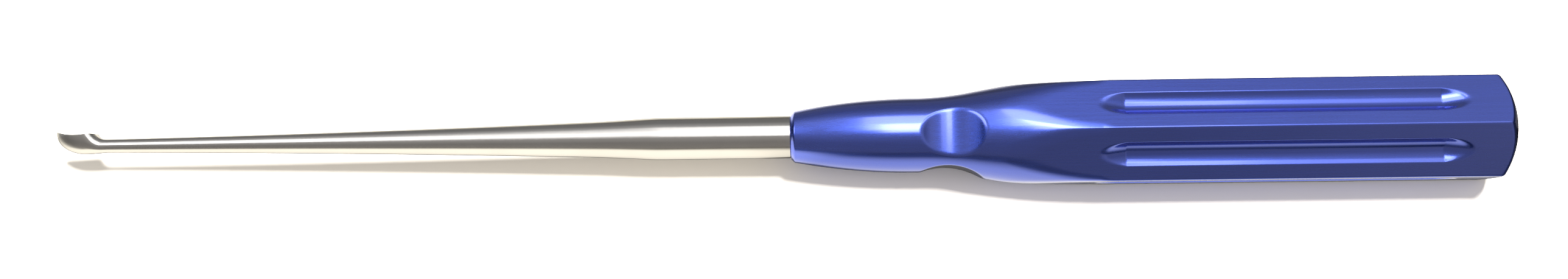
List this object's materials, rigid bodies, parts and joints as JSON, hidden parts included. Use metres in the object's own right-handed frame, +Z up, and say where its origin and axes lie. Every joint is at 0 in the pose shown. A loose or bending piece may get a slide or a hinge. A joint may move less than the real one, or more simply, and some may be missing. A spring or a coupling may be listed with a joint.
{
  "type": "cervical curette",
  "caption": "Hand curette with a fluted hexagonal handle and a slender tapering shaft that ends in a small open sharp-rimmed cup.",
  "frame": {"origin": "the middle of the tool's length, on the surface that the handle's lower flat rests on, straight below the tool's axis", "axes": "+X along the tool's axis from the cup towards the handle's domed end, +Z up out of the handle's upper flat, +Y away from the side with the milled recess on its upper corner"},
  "size_m": [0.2326, 0.0182, 0.0159],
  "materials": {
    "handle": "blue anodised, satin",
    "shaft": "polished stainless"
  },
  "bodies": {
    "root": {"handle": "handle", "shaft": "shaft"}
  },
  "joints": []
}
